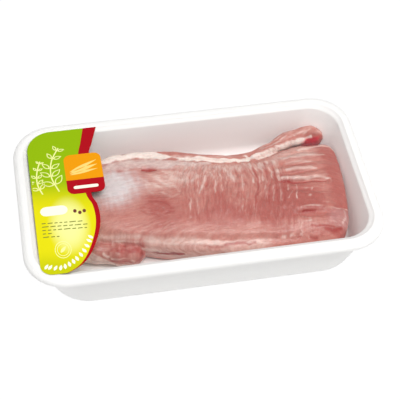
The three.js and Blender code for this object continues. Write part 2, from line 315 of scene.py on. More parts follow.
def foam_material(settings):
    """White extruded foam: a fine pebbled skin, and a faint juice tint low in the tray."""
    graph = Graph(bpy.data.materials.new("white_foam"))
    place = graph.place()
    height = graph.axes(place)[2]
    patches = graph.noise(place, 45, 3)
    low = 1 - height.between(4 * MM, 16 * MM)
    tint = graph.field("inside") * low * patches.between(0.2, 0.8) * 0.15
    base = graph.mix(tint, settings.foam, settings.stain)
    fine = graph.noise(place, 1500, 2)
    cells = graph.noise(place, 420, 1)
    bump = graph.bump(cells + fine * 0.4, 0.06 * MM)
    return graph.done(
        graph.surface(
            Base_Color=base,
            Roughness=0.42 + cells * 0.16,
            Normal=bump,
            Subsurface_Weight=0.06,
            Subsurface_Radius=(1.0, 1.0, 1.0),
            Subsurface_Scale=2 * MM,
        )
    )


def fibres(graph, scale, stretch, detail):
    """Noise drawn out along the loin, or across it where the field "cross" says so."""
    lengthwise = graph.add("ShaderNodeUVMap", {"uv_map": "length"})
    crosswise = graph.add("ShaderNodeUVMap", {"uv_map": "grain"})
    along = graph.noise(graph.stretch(lengthwise, (stretch, 1.0, 1.0)), scale, detail, 0.6)
    over = graph.noise(graph.stretch(crosswise, (1.0, stretch, 1.0)), scale, detail, 0.6)
    return along + (over - along) * graph.field("cross")


def meat_colour(graph, settings, threads, streaks, mottle):
    """Lays the thin pale skin, silverskin, fat, gaps and the raw cut over the lean meat, with painted
    highlights in the pale skin's colour, a painted sheen in the silverskin's, and painted shade in the redder
    meat's and the gaps' colours.
    """
    contrast = 0.6 + graph.field("cross") * 0.25
    broad = graph.noise(graph.place(), 55, 2)
    uneven = ((streaks - 0.5) * 1.6 + (threads - 0.5) * 0.8) * contrast
    red = graph.field("red") + (broad - 0.5) + uneven
    surface = graph.mix(red.between(0, 1), settings.muscle, settings.red)
    uneven = ((threads - 0.5) * 0.9 + (0.44 - streaks) * 1.2) * contrast
    veil_and_painted_light = graph.field("veil_and_painted_light") * (0.75 + threads * 0.5) + uneven
    # Painted highlights and painted front light come in here with the pale skin's colour.
    surface = graph.mix(veil_and_painted_light.between(0, 1.05), surface, settings.veil_and_painted_light)
    silver_and_sheen = graph.field("silver_and_sheen") * (0.75 + threads * 0.5)
    surface = graph.mix(silver_and_sheen.between(0, 1), surface, settings.silver_and_sheen)
    fat = graph.field("fat") + (mottle - 0.5) * 0.5 + (threads - 0.5) * 0.25
    surface = graph.mix(fat.between(0.2, 0.75), surface, settings.fat)
    # Painted shade: besides the real gaps, the gap colour darkens the creases and the edges of the small
    # muscle.
    surface = graph.mix(graph.field("gap").between(0, 0.9), surface, settings.gap)
    return graph.mix(graph.field("cut"), surface, settings.cut)


def meat_material(settings):
    """Raw pork: lean fibres, thin pale skin, silverskin and fat, all moist, with highlights, sheen and shade
    painted into its colour.
    """
    graph = Graph(bpy.data.materials.new("raw_pork"))
    place = graph.place()
    threads, streaks = fibres(graph, 12, 0.14, 3), fibres(graph, 5, 0.2, 3)
    mottle, speckle = graph.noise(place, 260, 4, 0.7), graph.noise(place, 900, 2)
    tone = 0.6 + mottle * 0.36 + threads * 0.24 + speckle * 0.16
    height = (threads * 0.5 + streaks * 0.8 + mottle * 0.5) * (1 - graph.field("fat") * 0.7)
    return graph.done(
        graph.surface(
            Base_Color=graph.shade(meat_colour(graph, settings, threads, streaks, mottle), tone),
            Roughness=0.22 + mottle * 0.24,
            Normal=graph.bump(height, 0.6 * MM),
            Specular_IOR_Level=0.35,
            Subsurface_Weight=0.1,
            Subsurface_Radius=(1.0, 0.35, 0.25),
            Subsurface_Scale=2 * MM,
        )
    )


def film_material():
    """Clear film: nearly see-through, with a faint gloss."""
    graph = Graph(bpy.data.materials.new("clear_film"))
    return graph.done(graph.surface(Base_Color=(0.4, 0.4, 0.4, 1), Roughness=0.1, Alpha=0.04, IOR=1.5))


def print_material(name, tint):
    """One colour of print on a smooth label, with the slight unevenness of ink."""
    graph = Graph(bpy.data.materials.new(name))
    ink = graph.noise(graph.place(), 900, 2)
    base = graph.mix(ink.between(0.2, 0.9) * 0.1, tint, [value * 0.82 for value in tint])
    return graph.done(graph.surface(Base_Color=base, Roughness=0.4 + ink * 0.1, Specular_IOR_Level=0.08))


def label_material(settings):
    """The label's ground: green at the top, fading to yellow, with a pale spot in the lower half."""
    graph = Graph(bpy.data.materials.new("label_ground"))
    place = graph.place()
    x, y, _ = graph.axes(place)
    slope = y + x * 0.12 + 14 * MM
    upper = graph.mix(slope.between(-12 * MM, 26 * MM), settings.lime, settings.green)
    ground = graph.mix(slope.between(-16 * MM, 22 * MM), settings.yellow, upper)
    bottom = graph.mix(slope.between(-66 * MM, -44 * MM), settings.lime, ground)
    across = (x + 99 * MM) * (1 / (17 * MM))
    along = (y + 26 * MM) * (1 / (30 * MM))
    glow = 1 - (across * across + along * along).between(0, 1)
    base = graph.mix(glow * 0.9, bottom, settings.pale)
    ink = graph.noise(place, 900, 2)
    return graph.done(graph.surface(Base_Color=base, Roughness=0.4 + ink * 0.1, Specular_IOR_Level=0.08))


# The tray and the film: rounded rectangles bridged one to the next

CORNER_SEGMENTS = 14
LIP_HEIGHT = 6.4 * MM
WALL_TOP = TRAY_HIGH[2] - 3.4 * MM
FOOT_INSET = 10.2 * MM

# The film's inner rings in millimetres from the rim's edge, and how far each lies below the one before
FILM_INSETS = [5, 7.5, 9, 12, 18, 26, 36, 47, 58, 67]
FILM_RING_STEP = 0.02 * MM

# In millimetres: how far from the rim's edge the film hangs free, and the height of its waves
FILM_FREE = 40
FILM_WAVE = 0.12


def corner_radius(tray, inset, height):
    """The corners get tighter towards the tray's middle, and wider towards its foot."""
    return tray.corner - 0.75 * inset + 0.21 * (tray.height - height)


def end_lean(tray, height):
    """How much further in the tray's ends lie than its long sides at a height."""
    return tray.lean * max(0, 1 - height / (tray.height - LIP_HEIGHT))


def mark_ring(piece, ring_number):
    """Writes the ring's number on the vertices that have none yet."""
    mesh = bmesh.from_edit_mesh(piece.data)
    ring = mesh.verts.layers.int.get("ring") or mesh.verts.layers.int.new("ring")
    for vertex in mesh.verts:
        if vertex[ring] == 0:
            vertex[ring] = ring_number
    bmesh.update_edit_mesh(piece.data)


def select_rings(piece, *numbers):
    """Selects the edges that lie on the numbered rings."""
    bpy.ops.mesh.select_mode(type="EDGE")
    bpy.ops.mesh.select_all(action="DESELECT")
    mesh = bmesh.from_edit_mesh(piece.data)
    ring = mesh.verts.layers.int["ring"]
    for edge in mesh.edges:
        first, second = [vertex[ring] for vertex in edge.verts]
        edge.select_set(first == second and first in numbers)
    mesh.select_flush_mode()
    bmesh.update_edit_mesh(piece.data)


def add_ring(piece, tray, inset, height, ring_number):
    """Adds one rounded rectangle of edges, its corners rounded by a bevel."""
    bpy.ops.mesh.select_mode(type="VERT")
    bpy.ops.mesh.select_all(action="DESELECT")
    bpy.ops.mesh.primitive_plane_add(size=1, location=(0, 0, height))
    spread = (tray.length - 2 * inset - 2 * end_lean(tray, height), tray.width - 2 * inset, 1)
    bpy.ops.transform.resize(value=spread, center_override=(0, 0, height))
    radius = corner_radius(tray, inset, height)
    bpy.ops.mesh.bevel(offset=radius, segments=CORNER_SEGMENTS, affect="VERTICES")
    bpy.ops.mesh.delete(type="ONLY_FACE")
    mark_ring(piece, ring_number)


def bridge_rings(name, tray, section):
    """Makes a closed shape through rings at the section's insets and heights, with a flat face at each end.

    No two rings in a row may lie at one height, as a bridge between them needs a direction.
    """
    piece = new_piece(name)
    for ring_number, (inset, height) in enumerate(section, 1):
        add_ring(piece, tray, inset, height, ring_number)
    for ring_number in range(1, len(section)):
        select_rings(piece, ring_number, ring_number + 1)
        bpy.ops.mesh.bridge_edge_loops()
    for ring_number in (1, len(section)):
        select_rings(piece, ring_number)
        bpy.ops.mesh.edge_face_add()
    return piece


def take_rings(piece):
    """Reads each vertex's ring number and drops the numbers from the mesh."""
    numbers = np.empty(len(piece.data.vertices), dtype=np.int32)
    layer = piece.data.attributes["ring"]
    layer.data.foreach_get("value", numbers)
    piece.data.attributes.remove(layer)
    return numbers


def arc(inset, height, radius, start, end, steps):
    """Points of the tray's section along a round, from one angle to another."""
    angles = [math.radians(start + (end - start) * step / steps) for step in range(steps + 1)]
    return [(inset - radius * math.cos(turn), height + radius * math.sin(turn)) for turn in angles]


def tray_section(tray):
    """The tray's outer and inner section as insets and heights, from the underside over the rim inwards."""
    foot, floor_round, lip_round, inner_round = 6 * MM, 8 * MM, 4.5 * MM, 1.2 * MM
    lip_underside = tray.height - LIP_HEIGHT
    shoulder = WALL_TOP + 1.6 * MM
    inner_top, inner_foot = tray.rim + 3.2 * MM, 14.5 * MM
    outer = [
        *arc(FOOT_INSET + foot, foot, foot, -90, 0, 7),
        (6.5 * MM, lip_underside - 1 * MM),
        (5.3 * MM, lip_underside - 0.1 * MM),
        (0.8 * MM, lip_underside),
        (0.1 * MM, lip_underside + 0.8 * MM),
        *arc(lip_round, tray.height - lip_round, lip_round, 0, 90, 8),
        *arc(tray.rim - inner_round, tray.height - inner_round - 0.1 * MM, inner_round, 90, 150, 4),
    ]
    inner = [
        (tray.rim + 1.2 * MM, shoulder),
        (inner_top - 0.6 * MM, shoulder - 0.7 * MM),
        (inner_top, WALL_TOP),
        *arc(inner_foot + floor_round, tray.floor + floor_round, floor_round, 0, -90, 8),
    ]
    return outer, inner


class PORK_OT_tray(bpy.types.Operator):
    """Make the foam tray"""

    bl_idname = "pork_pack.tray"
    bl_label = "Foam Tray"

    def execute(self, context):
        tray = context.scene.pork_tray
        outer, inner = tray_section(tray)
        piece = bridge_rings("foam_tray", tray, outer + inner)
        finish_edit(smooth_degrees=35)
        write_field(piece, "inside", (take_rings(piece) > len(outer)).astype(float))
        dress(piece, foam_material(tray), "tray")
        return {"FINISHED"}


class PORK_OT_film(bpy.types.Operator):
    """Make the clear film over the tray"""

    bl_idname = "pork_pack.film"
    bl_label = "Clear Film"

    def execute(self, context):
        tray, film = context.scene.pork_tray, context.scene.pork_film
        insets = [film.inset / MM, *FILM_INSETS]
        height = FILM_HIGH[2] - film.thickness
        section = [(inset * MM, height - step * FILM_RING_STEP) for step, inset in enumerate(insets)]
        piece = bridge_rings("clear_film", tray, section)
        delete_wide_face(piece)
        finish_edit()
        take_rings(piece)
        apply_modifier(piece, "SUBSURF", levels=1, render_levels=1)
        sag_film(piece, tray, film, height)
        apply_modifier(piece, "SOLIDIFY", thickness=film.thickness, offset=1)
        bpy.ops.object.shade_smooth()
        dress(piece, film_material(), "film")
        return {"FINISHED"}


def delete_wide_face(piece):
    """Deletes the face that closes the film's outer ring, so that one skin is left."""
    mesh = bmesh.from_edit_mesh(piece.data)
    widest = max(mesh.faces, key=lambda face: face.calc_area())
    bmesh.ops.delete(mesh, geom=[widest], context="FACES_ONLY")
    bmesh.update_edit_mesh(piece.data)


def sag_film(piece, tray, film, height):
    """Dips the film inside the rim, with shallow tension waves along it."""
    place = read_vectors(piece) / MM
    x, y = place[:, 0], place[:, 1]
    edge = np.minimum(tray.length / MM / 2 - np.abs(x), tray.width / MM / 2 - np.abs(y))
    free = smooth(tray.rim / MM, FILM_FREE, edge)
    waves = FILM_WAVE * np.sin(x * 0.09 + 0.6 * np.sin(y * 0.05)) * np.cos(y * 0.11 + 0.4)
    place[:, 2] = height / MM - free * (film.sag / MM + waves)
    write_places(piece, place * MM)


# Numbers over a mesh


def read_vectors(piece, key="co"):
    """The places of a piece's vertices, or their normals with the key "normal"."""
    values = np.empty(len(piece.data.vertices) * 3)
    piece.data.vertices.foreach_get(key, values)
    return values.reshape(-1, 3)


def write_places(piece, places):
    piece.data.vertices.foreach_set("co", places.ravel())
    piece.data.update()


def smooth(low, high, value):
    step = np.clip((value - low) / (high - low), 0, 1)
    return step * step * (3 - 2 * step)


def within(value, low, high, margin):
    """1 between the limits, falling to 0 over the margin outside them."""
    return smooth(low - margin, low + margin, value) * (1 - smooth(high - margin, high + margin, value))


def lattice(i, j, k, seed):
    """A fixed number from 0 to 1 for each whole-number place."""
    mixed = (i * 374761393 + j * 668265263 + k * 2147483629 + seed * 974711) & 0x7FFFFFFF
    mixed = ((mixed ^ (mixed >> 13)) * 1274126177) & 0x7FFFFFFF
    return ((mixed ^ (mixed >> 16)) & 0xFFFF) / 0xFFFF


def cloud(seed, x, y, z=0.0):
    """Smooth noise from 0 to 1, with bumps about one unit apart."""
    x, y, z = np.broadcast_arrays(x, y, z)
    cells = [np.floor(axis).astype(np.int64) for axis in (x, y, z)]
    parts = [axis - cell for axis, cell in zip((x, y, z), cells)]
    fx, fy, fz = [part * part * (3 - 2 * part) for part in parts]
    total = np.zeros(x.shape)
    for i in (0, 1):
        for j in (0, 1):
            for k in (0, 1):
                share = (fx if i else 1 - fx) * (fy if j else 1 - fy) * (fz if k else 1 - fz)
                total += share * lattice(cells[0] + i, cells[1] + j, cells[2] + k, seed)
    return total


def crest(noise):
    """Turns smooth noise into crest lines: 1 along them, 0 far from them."""
    return 1 - np.abs(2 * noise - 1)


def spot(x, y, middle, reach):
    """1 at the middle, fading out to nothing at about twice the reach."""
    return np.exp(-(((x - middle[0]) / reach[0]) ** 2) - ((y - middle[1]) / reach[1]) ** 2)


def spots(x, y, rows):
    """The sum of soft round patches, each with its strength first."""
    return sum(strength * spot(x, y, middle, reach) for strength, middle, reach in rows)


def patch(x, y, across, along):
    """1 in a rectangle with soft edges. Each pair of sides is given as its limits and margin."""
    return within(x, *across) * within(y, *along)


def off_line(x, y, points):
    """The distance to a line through the points, divided by the half-width that each point gives."""
    nearest = np.full(x.shape, 1e9)
    for (x0, y0, half0), (x1, y1, half1) in zip(points, points[1:]):
        dx, dy = x1 - x0, y1 - y0
        foot = np.clip(((x - x0) * dx + (y - y0) * dy) / (dx * dx + dy * dy), 0, 1)
        distance = np.hypot(x - x0 - foot * dx, y - y0 - foot * dy)
        nearest = np.minimum(nearest, distance / (half0 + foot * (half1 - half0)))
    return nearest


def stroke(x, y, points):
    """1 on a line through the points, fading to 0 at its half-width."""
    return np.exp(-(off_line(x, y, points) ** 2))


# The loin

# Lines on the loin's upper face, as X, Y and half-width in millimetres
FAT_SEAM = [
    (-66.2, 40, 1.8), (-58.1, 43, 2.3), (-48.5, 44.2, 2.6), (-33.7, 43.2, 2.8), (-26, 40.8, 2.5),
    (-20.1, 37.2, 2), (-8, 33.1, 1.7), (8.3, 30.7, 1.6), (18.2, 27.8, 1.3), (28.3, 26, 1.2), (38.4, 25, 1.2),
    (46.5, 25.3, 1.7),
]
LOW_FAT = [
    (-86, 22, 5), (-62, 32, 6.5), (-42, 33, 7), (-26, 30.5, 6.5), (-12, 28, 5), (2, 25, 3.2), (16, 25, 1.5),
]
LENS = [(-19, 34.5, 0.7), (-13.5, 35.5, 0.9), (-8.3, 32.5, 0.7)]
FAT_BAND = [
    (47, 27, 2.2), (56, 30, 2.6), (65, 33, 3), (76, 38.5, 3), (86, 42.5, 2.8), (95, 45.5, 2.4),
    (104, 48.5, 1.4),
]

# Where the upper face turns down to the front, and where the flap starts, as X and Y
FRONT_FOLD = [
    (-76, -28), (-69, -29.8), (-48, -34.5), (-31, -40), (-8, -44.7), (13, -49.4), (33, -51.5), (62, -54),
]
FLAP_EDGE = [(56, 32), (76, 41), (95, 47), (108, 50)]

# The pale foot of the small muscle along the front, as X and the height of its upper edge
HEEL = [(-90, 25), (-81, 22), (-76, 19), (-70, 15.4), (-57, 12.5), (-50, 8)]

# Soft round patches on the upper face, as middle and reach
FAT_BLOB = (46.5, 32), (2.6, 3.6)
SILVERSKIN = (-61, 12), (22, 19)
LOBE = (104, -42), (10, 9)
RED_DASHES = (-32, -11), (13, 9)
PALE_THREADS = (-23, 11), (19, 12)
FINE_RIDGES = (32, -22), (14, 9)

# Soft round patches as strength, middle and reach
VEIL_SPOTS = [(0.25, (28, 8), (9, 8)), (0.25, (0, 14), (16, 9))]
RED_SPOTS = [
    (0.75, (-30, -11), (13, 10)), (0.35, (-24, -20), (9, 7)), (0.5, (16, -20), (16, 14)),
    (0.6, (58, -16), (16, 14)), (0.5, (68, -2), (8, 7)), (0.5, (84, -16), (14, 12)),
    (0.5, (103, -50), (12, 8)), (0.7, (52.5, 33.5), (3.4, 1.6)), (0.25, (-68, -16), (16, 9)),
]

# Pale lines on the loin's front face, as strength and points of X, Z and half-width: pale lines along the
# folds, and painted highlights on the small muscle and beside its end
FRONT_PALE = [
    (0.5, (-68.6, 25, 0.6), (-59, 26.4, 0.7), (-45.1, 27.5, 0.7), (-33.4, 28.6, 0.6)),
    (0.45, (-30.7, 28.2, 0.6), (-22, 28.7, 0.7), (-13.4, 29.1, 0.6)),
    (0.6, (-16.3, 29, 0.7), (-5, 30.7, 0.8), (4.5, 30.2, 0.8), (13.3, 29.6, 0.7)),
    (0.45, (13.4, 29.9, 0.5), (26.9, 30, 0.6), (41.7, 30.4, 0.5)),
    (0.8, (-48.6, 21.8, 0.9), (-41.1, 20.7, 1.1), (-33.9, 21.2, 0.8)),
    (0.9, (-76.1, 20, 0.9), (-73, 18.7, 1.1)),
    (0.6, (-70.2, 17.3, 0.7), (-64.3, 17.9, 0.8), (-58.4, 17.7, 0.7)),
    (0.7, (-68.5, 23.4, 0.9), (-67.5, 23.8, 0.9)),
    (0.6, (-66.2, 21.8, 1.2), (-64.7, 21.8, 1.2)),
    (0.6, (-55.5, 15.9, 1.2), (-54.1, 15.3, 1.2)),
]
# Dark lines on the loin's front face, in the same form: a slit and creases, partly dark red and partly painted
# shade, and painted shade along the small muscle's top and round its end
FRONT_DARK = [
    (0.3, (-1.8, 28.5, 0.6), (5.6, 28.4, 0.9), (15.9, 28.1, 0.8)),
    (0.5, (13.1, 28.9, 0.6), (25.1, 29.5, 0.8), (37, 30, 0.6)),
    (1.0, (-35.2, 16.4, 0.9), (-30.2, 17.8, 1.6), (-24.5, 19, 2.2), (-20.2, 19.9, 1.6), (-16.6, 20.5, 0.6)),
    (0.8, (-38.9, 17, 0.7), (-35.3, 18.7, 0.9)),
    (0.45, (-46.7, 17.7, 0.7), (-35.9, 15, 0.7)),
    (0.6, (-67.4, 23.5, 0.8), (-58.5, 22.7, 0.9), (-52.8, 23.5, 1.1), (-48.6, 21.8, 1.4), (-46.7, 17.4, 1.8),
     (-50.3, 13.4, 1.8)),
    (0.5, (-69.5, 22.9, 1), (-65.2, 23.4, 1.2), (-60.7, 22.4, 1)),
    (0.5, (-70.3, 15.2, 0.7), (-62.9, 15.1, 0.8), (-55.6, 14.5, 0.9)),
]

# Pale lines as strength and points: threads, crest edges, ridges and the rims of folds, partly pale skin and
# partly painted highlight, and a few short painted glints
PALE_LINES = [
    (0.4, (-34, 21, 1.1), (-27.5, 14.5, 1.6), (-20, 11, 1.6), (-13.7, 2.6, 1.2), (-12.6, -1.5, 0.8)),
    (0.35, (-27, 17.6, 1.0), (-15.5, 13, 1.5), (-7.5, 8.7, 1.0)),
    (0.4, (-37.5, 10, 0.9), (-35.5, 4, 1.1), (-33, 0, 0.8)),
    (0.4, (-26, 0.3, 0.9), (-19.6, -7, 1.1), (-14, -4.6, 0.8)),
    (0.35, (-41, 17, 1.0), (-33, 9, 1.4), (-25, 5, 1.0)),
    (0.35, (-22, 21, 1.0), (-12, 18, 1.4), (-3, 12, 1.0)),
    (0.4, (-34, -8.7, 0.6), (-28, -13.3, 0.8), (-22.5, -25, 0.6)),
    (0.7, (-0.9, 6.9, 1.1), (3.8, 9.2, 1.1)),
    (0.8, (2.2, -7, 0.8), (6.2, 0.4, 0.9), (8.8, 8, 0.7)),
    (0.6, (3.4, 5, 0.7), (0.8, -5.7, 0.7)),
    (0.6, (-5.5, -10, 0.9), (-8.6, -27, 0.8)),
    (0.5, (-0.9, -14, 0.8), (-2.4, -25, 0.7)),
    (0.6, (13, 12, 0.9), (16, 3, 1.0), (13.5, -9, 0.8)),
    (0.5, (19, 18, 0.8), (21, 5, 1.0), (19.5, -8, 0.8)),
    (0.55, (25, 18, 1.2), (28.5, 9, 2.4), (31, 1, 1.4)),
    (0.5, (37, 16, 0.8), (38, 4, 1.0), (35, -8, 0.8)),
    (0.9, (46.4, 20, 0.8), (46.6, 6, 0.9), (45, -2, 0.7)),
    (0.8, (50.4, 15, 0.7), (51.6, 5, 0.8), (51, -1, 0.6)),
    (0.7, (54.5, 21, 0.7), (54.6, 10, 0.9), (53.6, 0, 0.7)),
    (0.8, (60.2, 21, 0.8), (61.2, 8, 1.0), (60.4, 1, 0.7)),
    (0.6, (53.6, -6, 1.0), (51.8, -19, 0.9)),
    (0.6, (59.2, -8, 0.9), (57.4, -21, 0.8)),
    (0.6, (64.6, -6, 0.8), (63, -22, 0.8)),
    (0.9, (65.5, 20, 1.1), (66.6, 12, 1.5), (66, 4, 1.4), (64.8, -2.5, 0.9)),
    (0.5, (73, 22, 1.2), (80, 21.6, 1.6), (91, 21.6, 1.6), (107, 21.5, 1.0)),
    (0.55, (75, 16.2, 1.2), (88, 15.5, 1.6), (98, 14, 1.0)),
    (0.7, (73, 8, 1.3), (81, 9.2, 1.8), (97, 7.4, 1.3)),
    (0.75, (68, -0.2, 1.3), (80, -1, 1.5), (88, -2.4, 0.9), (93, -1.2, 1.0), (105.4, -4.4, 0.7),
     (106, -7.5, 0.7), (103.3, -10.4, 0.5)),
    (0.7, (70.8, -7.4, 0.6), (69.6, -13, 0.6)),
    (1.0, (77.2, -9, 0.5), (74.2, -24, 0.5)),
    (0.7, (72.6, -15, 0.7), (68.3, -22, 0.7)),
    (1.0, (88.6, -13.4, 0.9), (87.6, -15, 0.9)),
    (1.0, (85.8, -20.5, 1.4), (84.4, -21.8, 1.2)),
    (0.5, (80, -12, 0.6), (92, -12.5, 0.8), (98, -14, 0.6)),
    (0.45, (80, -17, 0.6), (92, -17.5, 0.8), (99, -19.5, 0.6)),
    (0.4, (80, -25.5, 0.6), (92, -26.5, 0.8), (98, -28, 0.6)),
    (0.55, (75, -32.4, 0.7), (83, -31.2, 0.9), (92, -32.6, 0.7)),
    (0.5, (75.7, -39.6, 0.9), (80.6, -41.6, 0.8)),
    (0.45, (75, -43.6, 0.7), (80.6, -43.4, 0.7)),
    (0.8, (93, -34.2, 0.8), (102, -33, 1.0), (112, -33, 0.9)),
    (1.0, (88, 29.5, 0.9), (99, 32.6, 1.4), (108, 35, 1.6), (115, 33.5, 1.3), (118, 27, 0.9)),
    (0.9, (92, 46.8, 0.9), (97.5, 47.8, 0.9)),
    (0.6, (57, 36, 0.8), (68, 41, 1.0), (80, 47, 1.1), (92, 51, 1.0), (104, 53, 1.2)),
    (0.4, (60, 41, 0.8), (74, 48, 1.0), (88, 54, 1.0)),
    (0.6, (104, 51.5, 1.6), (112, 52, 1.4)),
    (0.6, (-12.1, 36.9, 0.9), (1.6, 33.9, 1.1), (20.9, 30.2, 1.1), (40.6, 28.2, 0.9)),
    (0.6, (94.8, -34.7, 1), (98.3, -35.4, 1.3)),
    (0.5, (108.4, -34.4, 0.8), (108.6, -40.1, 0.9), (104.4, -46.8, 0.7)),
    (0.45, (73.5, -44, 0.6), (71.6, -48, 0.8), (72.9, -51.4, 0.8), (77, -54.4, 0.7)),
    (0.8, (58.1, -51.3, 1.2), (59.2, -51.4, 1.2)),
    (0.55, (63.8, -51.6, 1), (66.8, -51.5, 1)),
    (0.6, (71.7, -51.8, 1), (72.7, -52.7, 1)),
]

# Dark red lines as strength and points: the gaps between the wrinkles and beside the folds, partly the meat's
# dark red and partly painted shade in the creases
DARK_LINES = [
    (0.9, (-37.4, 25.8, 1.0), (-32.5, 26, 2.0), (-26.8, 23.7, 0.8)),
    (0.35, (-55.4, 27, 1.6), (-53.6, 27, 1.2)),
    (0.35, (-34, -6.6, 0.8), (-27.7, -10, 1.0), (-20, -16, 0.8)),
    (0.4, (-26, -20, 1.2), (-20, -20.2, 1.2)),
    (0.4, (-2.6, 13, 0.7), (-4, 3, 0.7)),
    (0.45, (4.6, -8, 0.7), (9.1, 0.4, 0.8), (11.2, 8, 0.6)),
    (0.3, (0.2, 3.8, 0.7), (-2.4, -6.3, 0.7)),
    (0.35, (4.7, -18, 0.9), (4, -29, 0.8)),
    (0.35, (23, 12, 0.8), (24.6, 0, 0.8), (22.5, -12, 0.7)),
    (0.3, (33.5, 14, 0.7), (34, 2, 0.8), (31.5, -10, 0.7)),
    (0.6, (48, 15, 0.8), (49.2, 3.4, 1.1), (48.4, -6, 1.2), (44, -17, 1.0), (41.4, -26, 0.8)),
    (0.5, (58.3, 20, 0.7), (57.5, 7.7, 0.9), (56.6, 0, 0.7)),
    (0.45, (63.6, 18.5, 0.7), (63.6, 6.8, 0.8), (62.7, 0, 0.6)),
    (0.5, (56.4, -6, 0.9), (52.8, -23, 0.8)),
    (0.45, (61.6, -6, 0.8), (60, -24, 0.8)),
    (0.45, (67, -10, 0.8), (64.6, -26, 0.8)),
    (0.45, (75, 19, 0.6), (90, 18.6, 0.8), (107, 18.8, 0.6)),
    (0.45, (74, 12.8, 0.6), (85.5, 12.6, 0.9), (98, 10.8, 0.6)),
    (0.4, (69.4, 5.4, 0.8), (80, 5.6, 0.9), (98, 3.4, 0.7)),
    (0.9, (66.5, -3.5, 0.9), (74.2, -4.7, 1.3), (82.6, -5.8, 1.2), (93, -5.2, 0.9), (102, -7, 0.6)),
    (1.0, (77, -35, 0.9), (81, -35.4, 1.0), (86.5, -35.6, 0.6)),
    (0.6, (62, 28.6, 0.8), (73, 31.5, 1.0), (81, 34.5, 1.1), (90, 39.5, 1.3), (96, 42, 1.2)),
    (0.3, (-16, 39.6, 0.7), (0, 36.8, 0.8), (22, 32.6, 0.8), (42, 32.5, 0.7)),
    (0.5, (-51, 45.5, 1.2), (-47.5, 46.4, 1.0)),
    (0.5, (-18, 34.2, 0.5), (-14, 33.8, 1.1), (-9.5, 32, 0.5)),
    (0.7, (80.5, -47.2, 0.7), (87.8, -48.9, 0.8), (97.1, -49.9, 0.8)),
    (0.75, (90.5, -51.2, 1.6), (96.6, -52.6, 2.4), (102.8, -50.4, 1.8)),
    (0.5, (68.9, -52.9, 0.8), (71.1, -53.5, 0.8)),
    (0.6, (78.4, -54.7, 1.2), (82.8, -56, 1.3)),
    (0.45, (-44.1, -14, 0.7), (-40.1, -17.6, 0.8), (-34.8, -17.9, 0.8), (-30.9, -22.3, 0.6)),
    (0.5, (-37.6, -6.4, 0.7), (-30.9, -7.7, 0.8), (-24.5, -10.6, 0.9), (-21, -17, 0.7)),
    (0.5, (-23.5, -18.4, 0.9), (-20.8, -21.1, 0.9)),
    (0.35, (63.4, -23.3, 0.8), (60.8, -37.1, 0.8)),
    (0.3, (58.6, -24.2, 0.8), (56.8, -34.4, 0.8)),
    (0.3, (68.6, -34.5, 0.7), (66.8, -47.2, 0.7)),
    (0.3, (81, -48.3, 0.6), (80.6, -52.8, 0.6)),
    (0.3, (84.8, -48.9, 0.6), (84.3, -53.4, 0.6)),
]

# Lengthwise folds of the thick end as Y, height, and the X where each starts and ends
END_FOLDS = [
    (20, 0.7, 72, 106), (14.3, 0.8, 73, 98), (7.5, 1.0, 72, 97), (-1.5, 1.3, 67, 105), (-31.8, 0.7, 72, 93),
]

# How far the cross wrinkles lean, as the X at the middle of the loin and the lean there
WRINKLE_LEAN = [(-30, 0.3), (0, 0.42), (20, 0.4), (36, 0.05), (48, -0.3), (58, -0.12), (70, 0.15), (90, 0.2)]
UPRIGHT_LEAN = 0.2

# The front edge of the wrinkled area, as X and Y
WRINKLE_FOOT = [(20, -32), (60, -46)]


def grain_across(x, y):
    """How far each place lies across the wrinkles and fibres."""
    lean = np.interp(x, *zip(*WRINKLE_LEAN))
    lean = UPRIGHT_LEAN + (lean - UPRIGHT_LEAN) * smooth(-16, 4, y)
    return x - lean * (y - 5) + 3 * (cloud(3, x / 22, y / 16) - 0.5)


def wrinkle_fields(x, y, up):
    """The cross wrinkles: their coarse and fine crests, and where they show."""
    across = grain_across(x, y)
    foot = np.interp(x, *zip(*WRINKLE_FOOT))
    area = within(x, -14, 74, 9) * smooth(foot - 8, foot + 8, y) * (1 - smooth(17, 33, y)) * up
    patches = 0.4 + 0.6 * smooth(0.3, 0.7, cloud(11, x / 13, y / 9))
    torn = 0.3 + 1.1 * cloud(22, x / 3, y / 3.5)
    coarse = crest(cloud(12, across / 3.9, y / 13)) ** 1.5 * area * patches * torn
    fine = crest(cloud(13, across / 1.6, y / 5)) ** 2 * area * torn
    return coarse, fine, area


def fold_height(x, y, up):
    """The lengthwise folds of the thick end as a height."""
    height = np.zeros(x.shape)
    for line, rise, start, end in END_FOLDS:
        waver = line + 0.8 * (cloud(31, x / 9, line) - 0.5)
        height += rise * np.exp(-(((y - waver) / 2) ** 2)) * within(x, start, end, 4)
    return height * up


def lines_field(x, y, lines):
    """The strongest of the lines at each place. None shows further off than the margin."""
    field = np.zeros(x.shape)
    margin = 6
    for strength, *points in lines:
        xs, ys, _ = zip(*points)
        near = (x > min(xs) - margin) & (x < max(xs) + margin)
        near &= (y > min(ys) - margin) & (y < max(ys) + margin)
        field[near] = np.maximum(field[near], strength * stroke(x[near], y[near], points))
    return field


